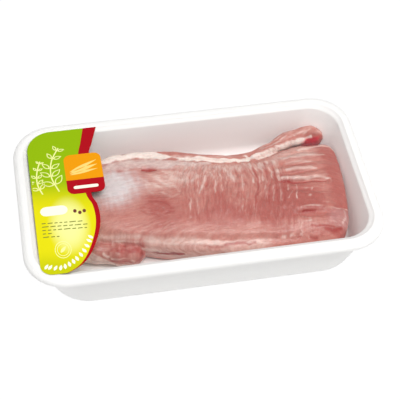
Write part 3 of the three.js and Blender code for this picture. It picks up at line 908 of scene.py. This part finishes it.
class LoinFace:
    """The loin's places in millimetres, with the masks and lines that its heights and colours share."""

    def __init__(self, places, normals):
        x, y, z = self.x, self.y, self.z = (places / MM).T
        self.up = smooth(0.1, 0.5, normals[:, 2])
        self.body = smooth(20, 25, z)
        fine_noise = cloud(5, x / 2.2, y / 2.2, z / 2.2) - 0.5
        self.ragged = (cloud(4, x / 5, y / 5, z / 5) - 0.5) + 0.5 * fine_noise
        self.coarse, self.fine, self.area = wrinkle_fields(x, y, self.up)
        self.folds = fold_height(x, y, self.up)
        self.front = y - np.interp(x, *zip(*FRONT_FOLD))
        self.front_face = 1 - smooth(1, 4, self.front)
        self.mark_lines()
        self.mark_regions()

    def mark_lines(self):
        """Draws the pale and dark lines, slightly bent, and the pale ones also broken."""
        sway = 1.1 * (cloud(9, self.x / 4, self.y / 4) - 0.5)
        self.bent_x = self.x + 1.1 * (cloud(8, self.x / 4, self.y / 4) - 0.5)
        self.bent_y = self.y + sway
        bent_z = self.z + sway
        broken = 0.3 + 1.1 * cloud(18, self.x / 4, self.y / 4)
        self.pale = lines_field(self.bent_x, self.bent_y, PALE_LINES) * smooth(12, 16, self.z) * broken
        self.dark = lines_field(self.bent_x, self.bent_y, DARK_LINES) * smooth(14, 18, self.z)
        self.front_pale = lines_field(self.bent_x, bent_z, FRONT_PALE) * self.front_face * broken
        self.front_dark = lines_field(self.bent_x, bent_z, FRONT_DARK) * self.front_face

    def mark_regions(self):
        """Masks the fat below the seam, the corner lobe, the flap, and the small muscle's strip and heel."""
        x, y = self.x, self.y
        self.low_fat = self.fat_along(LOW_FAT, 1.5, 0.8)
        self.lobe = smooth(0.1, 0.6, spot(x, y, *LOBE)) * self.up
        self.lower = within(self.front, 1, 13, 5) * self.up
        self.strip = (1 - smooth(-47, -43, x)) * (1 - smooth(-1, 2, self.front)) * smooth(9, 12, self.z)
        self.heel = smooth(0, 3, np.interp(x, *zip(*HEEL)) - self.z) * self.front_face
        self.flap = smooth(0, 4, y - np.interp(x, *zip(*FLAP_EDGE))) * smooth(54, 60, x)
        self.flap_streaks = self.flap * (0.5 * crest(cloud(20, x / 14, (y - 0.45 * x) / 2.6)) ** 2)

    def fat_along(self, line, reach, raggedness):
        """1 along a line and 0 away from it, with ragged edges."""
        return np.clip(reach - off_line(self.bent_x, self.bent_y, line) - self.ragged * raggedness, 0, 1)


def fat_field(on):
    """The seam, the band under the flap with its round end, and the thin fat below the seam."""
    streaked = 0.62 + 0.36 * cloud(16, on.x / 7, on.y / 1.6)
    seam = on.fat_along(FAT_SEAM, 1.8, 0.4) * streaked
    band = on.fat_along(FAT_BAND, 1.6, 0.3) * 0.8 * streaked
    blob = spot(on.x, on.y, *FAT_BLOB)
    fat = np.maximum(seam, np.maximum(band, blob)) * on.body
    fat = np.maximum(fat, on.low_fat * (0.28 + 0.14 * streaked) * on.body)
    fat = np.clip(fat - 0.7 * stroke(on.bent_x, on.bent_y, LENS) - 0.6 * on.dark, 0, 1)
    return np.maximum(fat, 0.5 * on.heel)


def silver_and_sheen_field(on):
    """The fibrous silverskin near the thin end, a trace of it below the seam, and a pale grey painted sheen on
    the lobe.
    """
    x, y = on.x, on.y
    strands = cloud(14, x / 9, y / 1.3) * 0.5 + cloud(15, x / 1.4, y / 8) * 0.5
    sheet = np.clip(1.3 * spot(x, y, *SILVERSKIN) * (0.6 + 0.7 * strands) - 0.1, 0, 1) * on.up
    # The lobe's share is painted sheen.
    return np.maximum(sheet * (1 - on.dark), np.maximum(0.25 * on.lobe, 0.4 * on.low_fat * on.body))


def veil_and_light_field(on):
    """Where the thin pale skin shows, and where highlights and the front face's light are painted in with its
    colour.
    """
    x, y, up = on.x, on.y, on.up
    seam_y = np.interp(x, *list(zip(*FAT_SEAM))[:2])
    under_seam = within(seam_y - y, 3, 12, 4) * within(x, -70, 60, 8) * up
    thick_end = patch(x, y, (62, 102, 8), (19, 34, 4)) * up
    # Painted light: the front face is painted paler, as light from the front would show it.
    front_painted_light = on.front_face * (1 - on.strip) * smooth(6, 12, on.z) * (1 - smooth(40, 58, x))
    # Crests of the wrinkles, the end folds and the fine ridges are painted paler: partly pale skin, partly
    # painted highlight.
    crests = on.area * (0.45 * on.coarse + 0.3 * on.fine) * (0.4 + 0.6 * smooth(-14, 6, y))
    slanted = cloud(19, (x - y) / 9, (x + y) / 3.4)
    threads = spot(x, y, *PALE_THREADS) * (0.5 + 0.4 * smooth(0.3, 0.8, slanted)) * up
    veil_and_painted_light = (
        0.8 * on.pale + 0.6 * crests + 0.3 * on.folds + 0.8 * on.front_pale + 0.25 * on.lower
        + 0.45 * under_seam + 0.5 * thick_end + 0.6 * front_painted_light + spots(x, y, VEIL_SPOTS) + 0.25 * on.strip
        + threads + 0.35 * on.fine * spot(x, y, *FINE_RIDGES) + 0.8 * on.flap_streaks
    )
    return veil_and_painted_light * (1 - 0.6 * on.front_dark)


def red_and_shade_field(on):
    """Where the lean meat is redder: broad patches and the thick end's face; and, as painted shade, the
    wrinkles' valleys and the dark lines on the front face.
    """
    x, y = on.x, on.y
    end_face = smooth(97, 108, x) * (1 - on.flap)
    # Painted shade: the wrinkles' valleys are painted redder.
    valleys = on.area * (1 - crest(cloud(12, grain_across(x, y) / 3.9, y / 13))) ** 2
    dashes = smooth(0.5, 0.75, cloud(21, x / 3.2, y / 1.5)) * spot(x, y, *RED_DASHES)
    return (
        0.12 + spots(x, y, RED_SPOTS) + 0.65 * end_face + 0.45 * valleys + 0.6 * dashes
        + 0.1 * on.flap + 0.5 * on.strip + 0.5 * on.lobe + 0.3 * on.front_dark
        - 0.15 * on.lower - 0.3 * on.heel
        + 0.4 * patch(x, y, (42, 106, 10), (-56, -16, 6)) + 0.35 * patch(x, y, (-60, 90, 10), (-38, -22, 5))
    )


def loin_fields(places, normals):
    """The loin's fine relief in millimetres, and its colour fields from 0 to 1."""
    on = LoinFace(places, normals)
    x, y, z = on.x, on.y, on.z
    fat = fat_field(on)
    broad = cloud(6, x / 11, y / 11, z / 11) - 0.5
    creases = on.folds + 0.3 * on.pale - 0.7 * on.dark + 0.4 * on.front_pale - 0.6 * on.front_dark
    relief = {
        "wrinkles": on.coarse + 0.3 * on.fine,
        "creases": creases + 1.2 * on.lobe + on.flap_streaks,
        "lumps": on.ragged * 1.1 + 1.2 * broad + fat * (1 + 0.6 * on.ragged),
    }
    colours = {
        "fat": fat,
        "silver_and_sheen": silver_and_sheen_field(on),
        "veil_and_painted_light": veil_and_light_field(on),
        "red": red_and_shade_field(on),
        # The gap field marks the dark lines: partly the meat's dark red, partly painted shade in the creases.
        "gap": on.dark + on.front_dark,
        "cut": patch(x, y, (96, 111, 3), (44, 52, 2)) * (1 - smooth(25, 27.5, z)),
        "cross": np.maximum(on.area, 0.5 * patch(x, y, (40, 100, 9), (-50, -8, 6)) * on.up),
    }
    return relief, {name: np.clip(value, 0, 1) for name, value in colours.items()}


def write_field(piece, name, values):
    attribute = piece.data.attributes.new(name, "FLOAT", "POINT")
    attribute.data.foreach_set("value", values.astype(np.float32))


def write_grains(piece, places):
    """Writes two UV maps in units of 10 mm: one across the wrinkles and along them, one along the loin."""
    x, y, z = (places / MM).T
    corners = np.empty(len(piece.data.loops), dtype=np.int64)
    piece.data.loops.foreach_get("vertex_index", corners)
    for name, across in (("grain", grain_across(x, y)), ("length", x)):
        values = np.column_stack([across, y - 0.6 * z]) / 10
        piece.data.uv_layers.new(name=name).data.foreach_set("uv", values[corners].ravel())


class PORK_OT_loin(bpy.types.Operator):
    """Make the raw loin with its wrinkles, folds, fat and silverskin"""

    bl_idname = "pork_pack.loin"
    bl_label = "Raw Loin"

    def execute(self, context):
        loin, tray = context.scene.pork_loin, context.scene.pork_tray
        piece = copy_node("pork_loin", "raw_loin")
        apply_modifier(piece, "REMESH", mode="VOXEL", voxel_size=loin.voxel)
        apply_modifier(piece, "SMOOTH", factor=0.5, iterations=5)
        places, normals = read_vectors(piece), read_vectors(piece, "normal")
        relief, colours = loin_fields(places, normals)
        height = (
            relief["wrinkles"] * loin.wrinkle_depth
            + relief["creases"] * loin.crease_depth
            + relief["lumps"] * loin.lump_depth
        )
        clear_of_floor = smooth(tray.floor + 0.5 * MM, tray.floor + 5 * MM, places[:, 2])
        places = places + normals * (height * clear_of_floor)[:, None]
        places[:, 2] = np.maximum(places[:, 2], tray.floor + 0.2 * MM)
        write_places(piece, places)
        for name, values in colours.items():
            write_field(piece, name, values)
        write_grains(piece, places)
        select_only(piece)
        bpy.ops.object.shade_smooth()
        dress(piece, meat_material(loin), "pork_loin")
        return {"FINISHED"}


def copy_node(node, name):
    """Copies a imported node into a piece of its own, with its loose triangles joined."""
    deselect()
    piece = bpy.data.objects.new(name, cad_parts[node].data.copy())
    bpy.context.scene.collection.objects.link(piece)
    select_only(piece)
    bpy.ops.object.mode_set(mode="EDIT")
    bpy.ops.mesh.select_all(action="SELECT")
    bpy.ops.mesh.remove_doubles(threshold=0.01 * MM)
    bpy.ops.object.mode_set(mode="OBJECT")
    return piece


# The label: flat outlines, each layer of print just above the one below

# The label's sides, the radii of its left corners, and its right side from the bottom up
LABEL_LEFT, LABEL_TOP, LABEL_BOTTOM = -123.5, 69, -69
LABEL_TOP_CORNER, LABEL_BOTTOM_CORNER = 19, 9
LABEL_RIGHT_SIDE = [
    (-104, -69), (-94, -63.5), (-86, -54), (-79.2, -39), (-75.7, -24), (-76.2, -9.6), (-79.5, 3), (-77.4, 38),
    (-72.9, 53.7), (-68, 69),
]

# The band down the right side, as heights and widths
BAND_WIDTHS = [(-69, 0.6), (-60, 2), (-48, 2.9), (-24, 3.4), (-2, 3.6), (20, 6), (42, 8.2), (69, 10.4)]

# The badge, the bar on it, how high its red foot reaches from -1 to 1, and its swashes as rise and half-width
BADGE_MIDDLE = (-82.5, 22.5)
BADGE_HALF_WIDTH, BADGE_HALF_HEIGHT, BADGE_CORNER = 14.3, 19.8, 5.5
BADGE_BAR = (-92, -73, 9, 1.5)
BADGE_FOOT = -0.3
SWASHES = [(10.5, 1.5), (6, 1.8), (1.5, 1.2)]

# The stems of the sprigs with the length of each one's longest leaf, and where on a stem its leaves grow
SPRIG_STEMS = [
    ([(-103, 7), (-107.5, 22), (-106, 38), (-99, 52)], 11.5),
    ([(-115.5, 6), (-118.5, 16), (-118, 28), (-114.5, 40)], 7.5),
]
LEAF_PLACES = (0.16, 0.34, 0.52, 0.7, 0.86)
LEAF_SPREAD = math.radians(50)

# A broad bar where a heading would be, and the dots after it
HEADING_BAR = (-119, -98.6, -11, 4.4)
HEADING_DOTS = [(-93.5, -13.4), (-90, -15.4), (-86.6, -14.2)]
DOT_HALF_SIZES = (1.3, 1.7)

# The small print's left edge, and the height and right end of each row
PRINT_LEFT = -119
PRINT_ROWS = [(-22, -86), (-25.2, -85.6), (-28.4, -86), (-31.6, -112), (-34.8, -107)]
PRINT_HALF_HEIGHT = 0.42
WORD_GAP = 1.2

# The stamp's middle and the reach of its rings' edges
STAMP_MIDDLE = (-105.7, -48)
STAMP_RINGS = (6, 5.5, 4.4, 4)

# The curve that the seeds lie along, and each seed's size and turn from the curve
SEED_PATH = [(-119, -61.5), (-109, -63.8), (-99.5, -59.5), (-90.5, -50.5), (-84.8, -39)]
SEED_COUNT = 13
SEED_HALF_LENGTH, SEED_HALF_WIDTH = 2.5, 1.15
SEED_TURN = math.radians(70)


def curve_through(points, steps=8):
    """Points on a smooth curve through the given ones."""
    ends = [points[0], *points, points[-1]]
    curve = []
    for before, start, end, after in zip(ends, ends[1:], ends[2:], ends[3:]):
        for step in range(steps):
            t = step / steps
            curve.append(tuple(
                0.5 * (
                    2 * b + (c - a) * t + (2 * a - 5 * b + 4 * c - d) * t * t
                    + (3 * b - a - 3 * c + d) * t ** 3
                )
                for a, b, c, d in zip(before, start, end, after)
            ))
    return [*curve, points[-1]]


def oval(middle, half_width, half_height, start=0, end=360, steps=48):
    """Points round an oval or along a part of it, between two angles."""
    count = steps + (end - start < 360)
    angles = [math.radians(start + (end - start) * step / steps) for step in range(count)]
    x, y = middle
    return [(x + half_width * math.cos(turn), y + half_height * math.sin(turn)) for turn in angles]


def pill(left, right, middle, half_height):
    """A bar with round ends."""
    ends = [(right - half_height, -90, 90), (left + half_height, 90, 270)]
    return [
        point
        for x, start, end in ends
        for point in oval((x, middle), half_height, half_height, start, end, 6)
    ]


def leaf(root, tip, half_width, steps=10):
    """A pointed leaf from its root to its tip."""
    dx, dy = tip[0] - root[0], tip[1] - root[1]
    reach = math.hypot(dx, dy)
    side = (-dy / reach, dx / reach)

    def edge(sign, t):
        bulge = sign * half_width * math.sin(math.pi * t ** 0.85)
        return (root[0] + dx * t + side[0] * bulge, root[1] + dy * t + side[1] * bulge)

    there = [edge(1, step / steps) for step in range(steps)]
    back = [edge(-1, 1 - step / steps) for step in range(steps)]
    return there + back


def hollow_leaf(root, tip, half_width, line):
    """A leaf's outline with a smaller leaf inside it as a hole."""
    dx, dy = tip[0] - root[0], tip[1] - root[1]
    trim = 1.6 * line / math.hypot(dx, dy)
    inner_root = (root[0] + dx * trim, root[1] + dy * trim)
    inner_tip = (tip[0] - dx * trim, tip[1] - dy * trim)
    return [leaf(root, tip, half_width), leaf(inner_root, inner_tip, half_width - line)]


def ribbon(points, half_width):
    """A thin band along a curve."""
    curve = curve_through(points)
    left, right = [], []
    for (x0, y0), (x1, y1) in zip(curve, curve[1:]):
        reach = math.hypot(x1 - x0, y1 - y0)
        side = (-(y1 - y0) / reach * half_width, (x1 - x0) / reach * half_width)
        left.append((x0 + side[0], y0 + side[1]))
        right.append((x0 - side[0], y0 - side[1]))
    return left + right[::-1]


def label_outline():
    left, round_top, round_low = LABEL_LEFT, LABEL_TOP_CORNER, LABEL_BOTTOM_CORNER
    top = oval((left + round_top, LABEL_TOP - round_top), round_top, round_top, 90, 180, 10)
    bottom = oval((left + round_low, LABEL_BOTTOM + round_low), round_low, round_low, 180, 270, 8)
    return top + bottom + curve_through(LABEL_RIGHT_SIDE)


def band_outline():
    outer = curve_through(LABEL_RIGHT_SIDE)
    inner = [(x - np.interp(y, *zip(*BAND_WIDTHS)), y) for x, y in outer]
    return outer + inner[::-1]


def flat_print(name, outlines, low, thickness):
    """Makes one layer of print from closed outlines. An outline inside another is a hole in it."""
    deselect()
    curve = bpy.data.curves.new(name, "CURVE")
    curve.dimensions = "2D"
    curve.fill_mode = "BOTH"
    curve.extrude = thickness / 2
    for outline in outlines:
        spline = curve.splines.new("POLY")
        spline.points.add(len(outline) - 1)
        for point, (x, y) in zip(spline.points, outline):
            point.co = (x * MM, y * MM, 0, 1)
        spline.use_cyclic_u = True
    piece = bpy.data.objects.new(name, curve)
    bpy.context.scene.collection.objects.link(piece)
    piece.location.z = low + thickness / 2
    select_only(piece)
    bpy.ops.object.convert(target="MESH")
    piece = bpy.context.object
    bpy.ops.object.transform_apply(location=True, rotation=True, scale=True)
    bpy.ops.object.mode_set(mode="EDIT")
    bpy.ops.mesh.select_all(action="SELECT")
    bpy.ops.mesh.remove_doubles(threshold=0.001 * MM)
    finish_edit()
    return piece


def sprig_outlines():
    """Two herb sprigs in outline: bent stems with leaves in pairs that get smaller towards their tips."""
    outlines = []
    for stem, longest in SPRIG_STEMS:
        curve = curve_through(stem)
        outlines.append(ribbon(stem, 0.5))
        for count, share in enumerate(LEAF_PLACES):
            place = round(share * (len(curve) - 1))
            (x, y), ahead = curve[place], curve[place + 1]
            turn = math.atan2(ahead[1] - y, ahead[0] - x)
            reach = longest * (1 - 0.11 * count)
            for side in (-1, 1):
                way = turn + side * LEAF_SPREAD
                root = (x + 0.8 * math.cos(way), y + 0.8 * math.sin(way))
                tip = (x + reach * math.cos(way), y + reach * math.sin(way))
                outlines += hollow_leaf(root, tip, 0.22 * reach, 0.7)
    return [[(max(x, LABEL_LEFT + 1), y) for x, y in outline] for outline in outlines]


def small_print():
    """Rows of short bars, broken like words."""
    outlines = []
    for count, (y, right) in enumerate(PRINT_ROWS):
        x = PRINT_LEFT
        word = 0
        while x < right - 2:
            reach = 1.8 + 3.4 * float(lattice(count, word, 7, 21))
            slope = 0.06 * (x - PRINT_LEFT)
            outlines.append(pill(x, min(x + reach, right), y - slope, PRINT_HALF_HEIGHT))
            x += reach + WORD_GAP
            word += 1
    return outlines


def seed_outlines():
    """Separate seeds in a row along a curve near the label's foot."""
    path = curve_through(SEED_PATH, 24)
    seeds = []
    for count in range(SEED_COUNT):
        place = round(count * (len(path) - 2) / (SEED_COUNT - 1))
        (x, y), ahead = path[place], path[place + 1]
        turn = math.atan2(ahead[1] - y, ahead[0] - x) + SEED_TURN
        dx, dy = SEED_HALF_LENGTH * math.cos(turn), SEED_HALF_LENGTH * math.sin(turn)
        seeds.append(leaf((x - dx, y - dy), (x + dx, y + dy), SEED_HALF_WIDTH))
    return seeds


def stamp_outlines():
    """A round stamp: two thin rings with a small leaf in them."""
    x, y = STAMP_MIDDLE
    rings = [oval(STAMP_MIDDLE, reach, reach * 1.3) for reach in STAMP_RINGS]
    return rings + [leaf((x - 2, y - 2.6), (x + 2.2, y + 3), 1.3)]


def badge_outline(high=1.0):
    """The badge's upright rounded rectangle, up to a height from -1 to 1."""
    x, y = BADGE_MIDDLE
    radius = BADGE_CORNER
    right, top = BADGE_HALF_WIDTH - BADGE_CORNER, BADGE_HALF_HEIGHT - BADGE_CORNER
    corners = [(right, top, 0), (-right, top, 90), (-right, -top, 180), (right, -top, 270)]
    outline = [
        point
        for dx, dy, start in corners
        for point in oval((x + dx, y + dy), radius, radius, start, start + 90, 8)
    ]
    return [(px, min(py, y + high * BADGE_HALF_HEIGHT)) for px, py in outline]


def badge_swashes():
    """Three pale swashes that spread from the badge's left side."""
    x, y = BADGE_MIDDLE
    swashes = []
    for rise, half_width in SWASHES:
        swashes.append(leaf((x - 11, y + rise * 0.3 - 1), (x + 11, y + rise + 2), half_width))
    return swashes


class PORK_OT_label(bpy.types.Operator):
    """Make the printed label"""

    bl_idname = "pork_pack.label"
    bl_label = "Printed Label"

    def execute(self, context):
        label = context.scene.pork_label
        film_top, ink = FILM_HIGH[2], label.print_thickness
        top = film_top + label.thickness
        card = label.thickness + 2 * ink
        dots = [oval(middle, *DOT_HALF_SIZES, steps=20) for middle in HEADING_DOTS]
        layers = [
            ("label_band", [band_outline()], top, ink, "red_ink", label.band),
            ("label_sprig", sprig_outlines(), top, ink, "pale_ink", label.pale),
            ("label_heading", [pill(*HEADING_BAR)], top, ink, "white_ink", label.white),
            ("label_dots", dots, top, ink, "brown_ink", label.dark),
            ("label_small_print", small_print(), top, ink, "olive_ink", label.ink),
            ("label_seeds", seed_outlines(), top, ink, "seed_ink", label.white),
            ("label_stamp", stamp_outlines(), top, ink, "stamp_ink", label.pale),
            ("badge_card", [badge_outline()], film_top, card, "orange_ink", label.badge),
            ("badge_foot", [badge_outline(BADGE_FOOT)], film_top, card + ink, "badge_red_ink", label.band),
            ("badge_swashes", badge_swashes(), top + 2 * ink, ink, "badge_pale_ink", label.cream),
            ("badge_bar", [pill(*BADGE_BAR)], top + 3 * ink, ink, "badge_white_ink", label.white),
        ]
        ground = flat_print("label_ground", [label_outline()], film_top, label.thickness)
        dress(ground, label_material(label), "label")
        for name, outlines, low, thickness, ink_name, tint in layers:
            piece = flat_print(name, outlines, low, thickness)
            dress(piece, print_material(ink_name, tint), "label")
        return {"FINISHED"}


# The stage: places and sizes are in metres, and the camera's sensor and lens in millimetres

KEY_PLACE = (0.2, -0.4, 1.25)
KEY_SIZE = 0.6
FLOOR_RADIUS = 4
FLOOR_HEIGHT = -0.2 * MM
SENSOR_WIDTH = 36

# The upward parts of a direction between which the sky's brightness rises
SKY_LOW, SKY_HIGH = 0.15, 0.9


def floor_material(settings):
    """A white table lit from below, on which shadows are faint."""
    graph = Graph(bpy.data.materials.new("pale_floor"))
    return graph.done(
        graph.surface(
            Base_Color=(0.1, 0.1, 0.1, 1),
            Roughness=0.95,
            Specular_IOR_Level=0.0,
            Emission_Color=(1, 1, 1, 1),
            Emission_Strength=settings.floor_glow,
        )
    )


def sky(settings):
    """Soft light from all round, brighter from above."""
    graph = Graph(bpy.data.worlds.new("soft_room"))
    direction = graph.add("ShaderNodeTexCoord", output="Generated")
    values = {0: graph.axes(direction)[2], 1: SKY_LOW, 2: SKY_HIGH, 3: settings.sky_side, 4: settings.sky_top}
    strength = graph.add("ShaderNodeMapRange", values=values)
    light = graph.add("ShaderNodeBackground", values={"Strength": strength})
    return graph.done(light, "ShaderNodeOutputWorld")


def lamp(name, place, size, power):
    """A square lamp that points at the middle of the pack."""
    light = bpy.data.lights.new(name, "AREA")
    light.size = size
    light.energy = power
    piece = bpy.data.objects.new(name, light)
    piece.location = place
    piece.rotation_euler = (-Vector(place)).to_track_quat("-Z", "Y").to_euler()
    bpy.context.scene.collection.objects.link(piece)


def camera(settings):
    """The camera at the photograph's angle."""
    turn, rise, roll = settings.turn, settings.elevation, settings.roll
    back = Vector((-math.sin(turn) * math.cos(rise), -math.cos(turn) * math.cos(rise), math.sin(rise)))
    level = (-back).cross(Vector((0, 0, 1))).normalized()
    upright = level.cross(-back)
    right = level * math.cos(roll) + upright * math.sin(roll)
    up = upright * math.cos(roll) - level * math.sin(roll)
    place = back * settings.distance + right * settings.aim_right + up * settings.aim_up
    place.z += settings.aim_height
    data = bpy.data.cameras.new("photo_camera")
    data.lens = settings.lens
    data.sensor_width = SENSOR_WIDTH
    data.clip_start = 0.05
    piece = bpy.data.objects.new("photo_camera", data)
    piece.matrix_world = Matrix.Translation(place) @ Matrix((right, up, back)).transposed().to_4x4()
    bpy.context.scene.collection.objects.link(piece)
    bpy.context.scene.camera = piece


class PORK_OT_stage(bpy.types.Operator):
    """Make the floor, the lights and the camera"""

    bl_idname = "pork_pack.stage"
    bl_label = "Stage"

    def execute(self, context):
        stage = context.scene.pork_stage
        deselect()
        bpy.ops.mesh.primitive_circle_add(
            vertices=96, radius=FLOOR_RADIUS, fill_type="NGON", location=(0, 0, FLOOR_HEIGHT)
        )
        floor = context.object
        floor.name = "floor"
        floor.data.materials.append(floor_material(stage))
        context.scene.world = sky(stage)
        lamp("key_lamp", KEY_PLACE, KEY_SIZE, stage.key_power)
        camera(stage)
        context.scene.view_settings.view_transform = "Standard"
        return {"FINISHED"}


class PORK_PT_panel(bpy.types.Panel):
    """The pack's pieces and their settings"""

    bl_idname = "PORK_PT_panel"
    bl_label = "Pork Loin Pack"
    bl_space_type = "VIEW_3D"
    bl_region_type = "UI"
    bl_category = "Pork Loin Pack"

    def draw(self, context):
        for group, kind in GROUPS.items():
            box = self.layout.box()
            for name in kind.__annotations__:
                box.prop(getattr(context.scene, f"pork_{group}"), name)
            box.operator(f"pork_pack.{group}")


GROUPS = {
    "tray": PorkTraySettings,
    "loin": PorkLoinSettings,
    "film": PorkFilmSettings,
    "label": PorkLabelSettings,
    "stage": PorkStageSettings,
}

OPERATORS = [PORK_OT_tray, PORK_OT_loin, PORK_OT_film, PORK_OT_label, PORK_OT_stage]
CLASSES = [*GROUPS.values(), *OPERATORS, PORK_PT_panel]


def register():
    for item in CLASSES:
        bpy.utils.register_class(item)
    for group, kind in GROUPS.items():
        setattr(bpy.types.Scene, f"pork_{group}", PointerProperty(type=kind))


def unregister():
    for group in GROUPS:
        delattr(bpy.types.Scene, f"pork_{group}")
    for item in reversed(CLASSES):
        bpy.utils.unregister_class(item)


def main():
    register()
    bpy.ops.pork_pack.stage()
    bpy.ops.pork_pack.tray()
    bpy.ops.pork_pack.loin()
    bpy.ops.pork_pack.film()
    bpy.ops.pork_pack.label()


if __name__ == "__main__":
    main()
